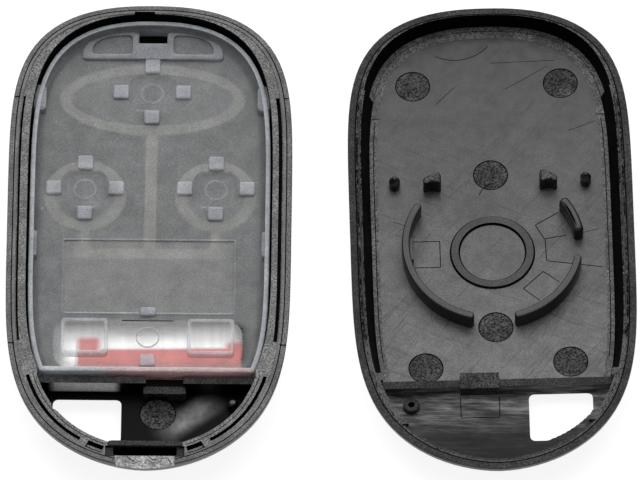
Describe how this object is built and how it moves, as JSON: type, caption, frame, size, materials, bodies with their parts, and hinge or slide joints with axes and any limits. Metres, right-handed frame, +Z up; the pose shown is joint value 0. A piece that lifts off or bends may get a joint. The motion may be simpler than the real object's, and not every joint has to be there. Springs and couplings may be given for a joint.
{
  "type": "key fob cover",
  "caption": "Remote key fob case laid open: front half with silicone button pad and pressable keys, and an empty rear half with battery well and key ring hole.",
  "frame": {"origin": "centre of the footprint of the opened case, on the surface that both halves lie on", "axes": "+Z up; +Y towards the top of the fob, away from the key ring end; +X from the front half towards the rear half"},
  "size_m": [0.0806, 0.0694, 0.0068],
  "materials": {
    "black_plastic": "black moulded plastic, fine spark-eroded grain on the rims, smooth inner floors with faint tool marks",
    "key_plastic": "black moulded key caps, satin",
    "carrier_plastic": "pale beige moulded plastic",
    "silicone": "translucent blue-grey silicone rubber",
    "panic_red": "red moulded key, satin"
  },
  "bodies": {
    "front_half": {"front_cover": "black_plastic", "button_pad": "silicone", "key_carrier": "carrier_plastic"},
    "rear_half": {"rear_cover": "black_plastic"},
    "lock_key": {"lock_button": "key_plastic"},
    "unlock_key": {"unlock_button": "key_plastic"},
    "trunk_key": {"trunk_button": "key_plastic"},
    "panic_key": {"panic_button": "panic_red"}
  },
  "joints": [
    {"name": "rear_swing", "type": "hinge", "parent": "front_half", "child": "rear_half", "pos_m": [0, 0, 0.00625], "axis": [0, -1, 0], "range_deg": [0, 180]},
    {"name": "lock_press", "type": "slide", "parent": "front_half", "child": "lock_key", "axis": [0, 0, 1], "range_m": [0, 0.0005], "stiffness_N_per_m": 150},
    {"name": "unlock_press", "type": "slide", "parent": "front_half", "child": "unlock_key", "axis": [0, 0, 1], "range_m": [0, 0.0005], "stiffness_N_per_m": 150},
    {"name": "trunk_press", "type": "slide", "parent": "front_half", "child": "trunk_key", "axis": [0, 0, 1], "range_m": [0, 0.0005], "stiffness_N_per_m": 150},
    {"name": "panic_press", "type": "slide", "parent": "front_half", "child": "panic_key", "axis": [0, 0, 1], "range_m": [0, 0.0005], "stiffness_N_per_m": 150}
  ]
}
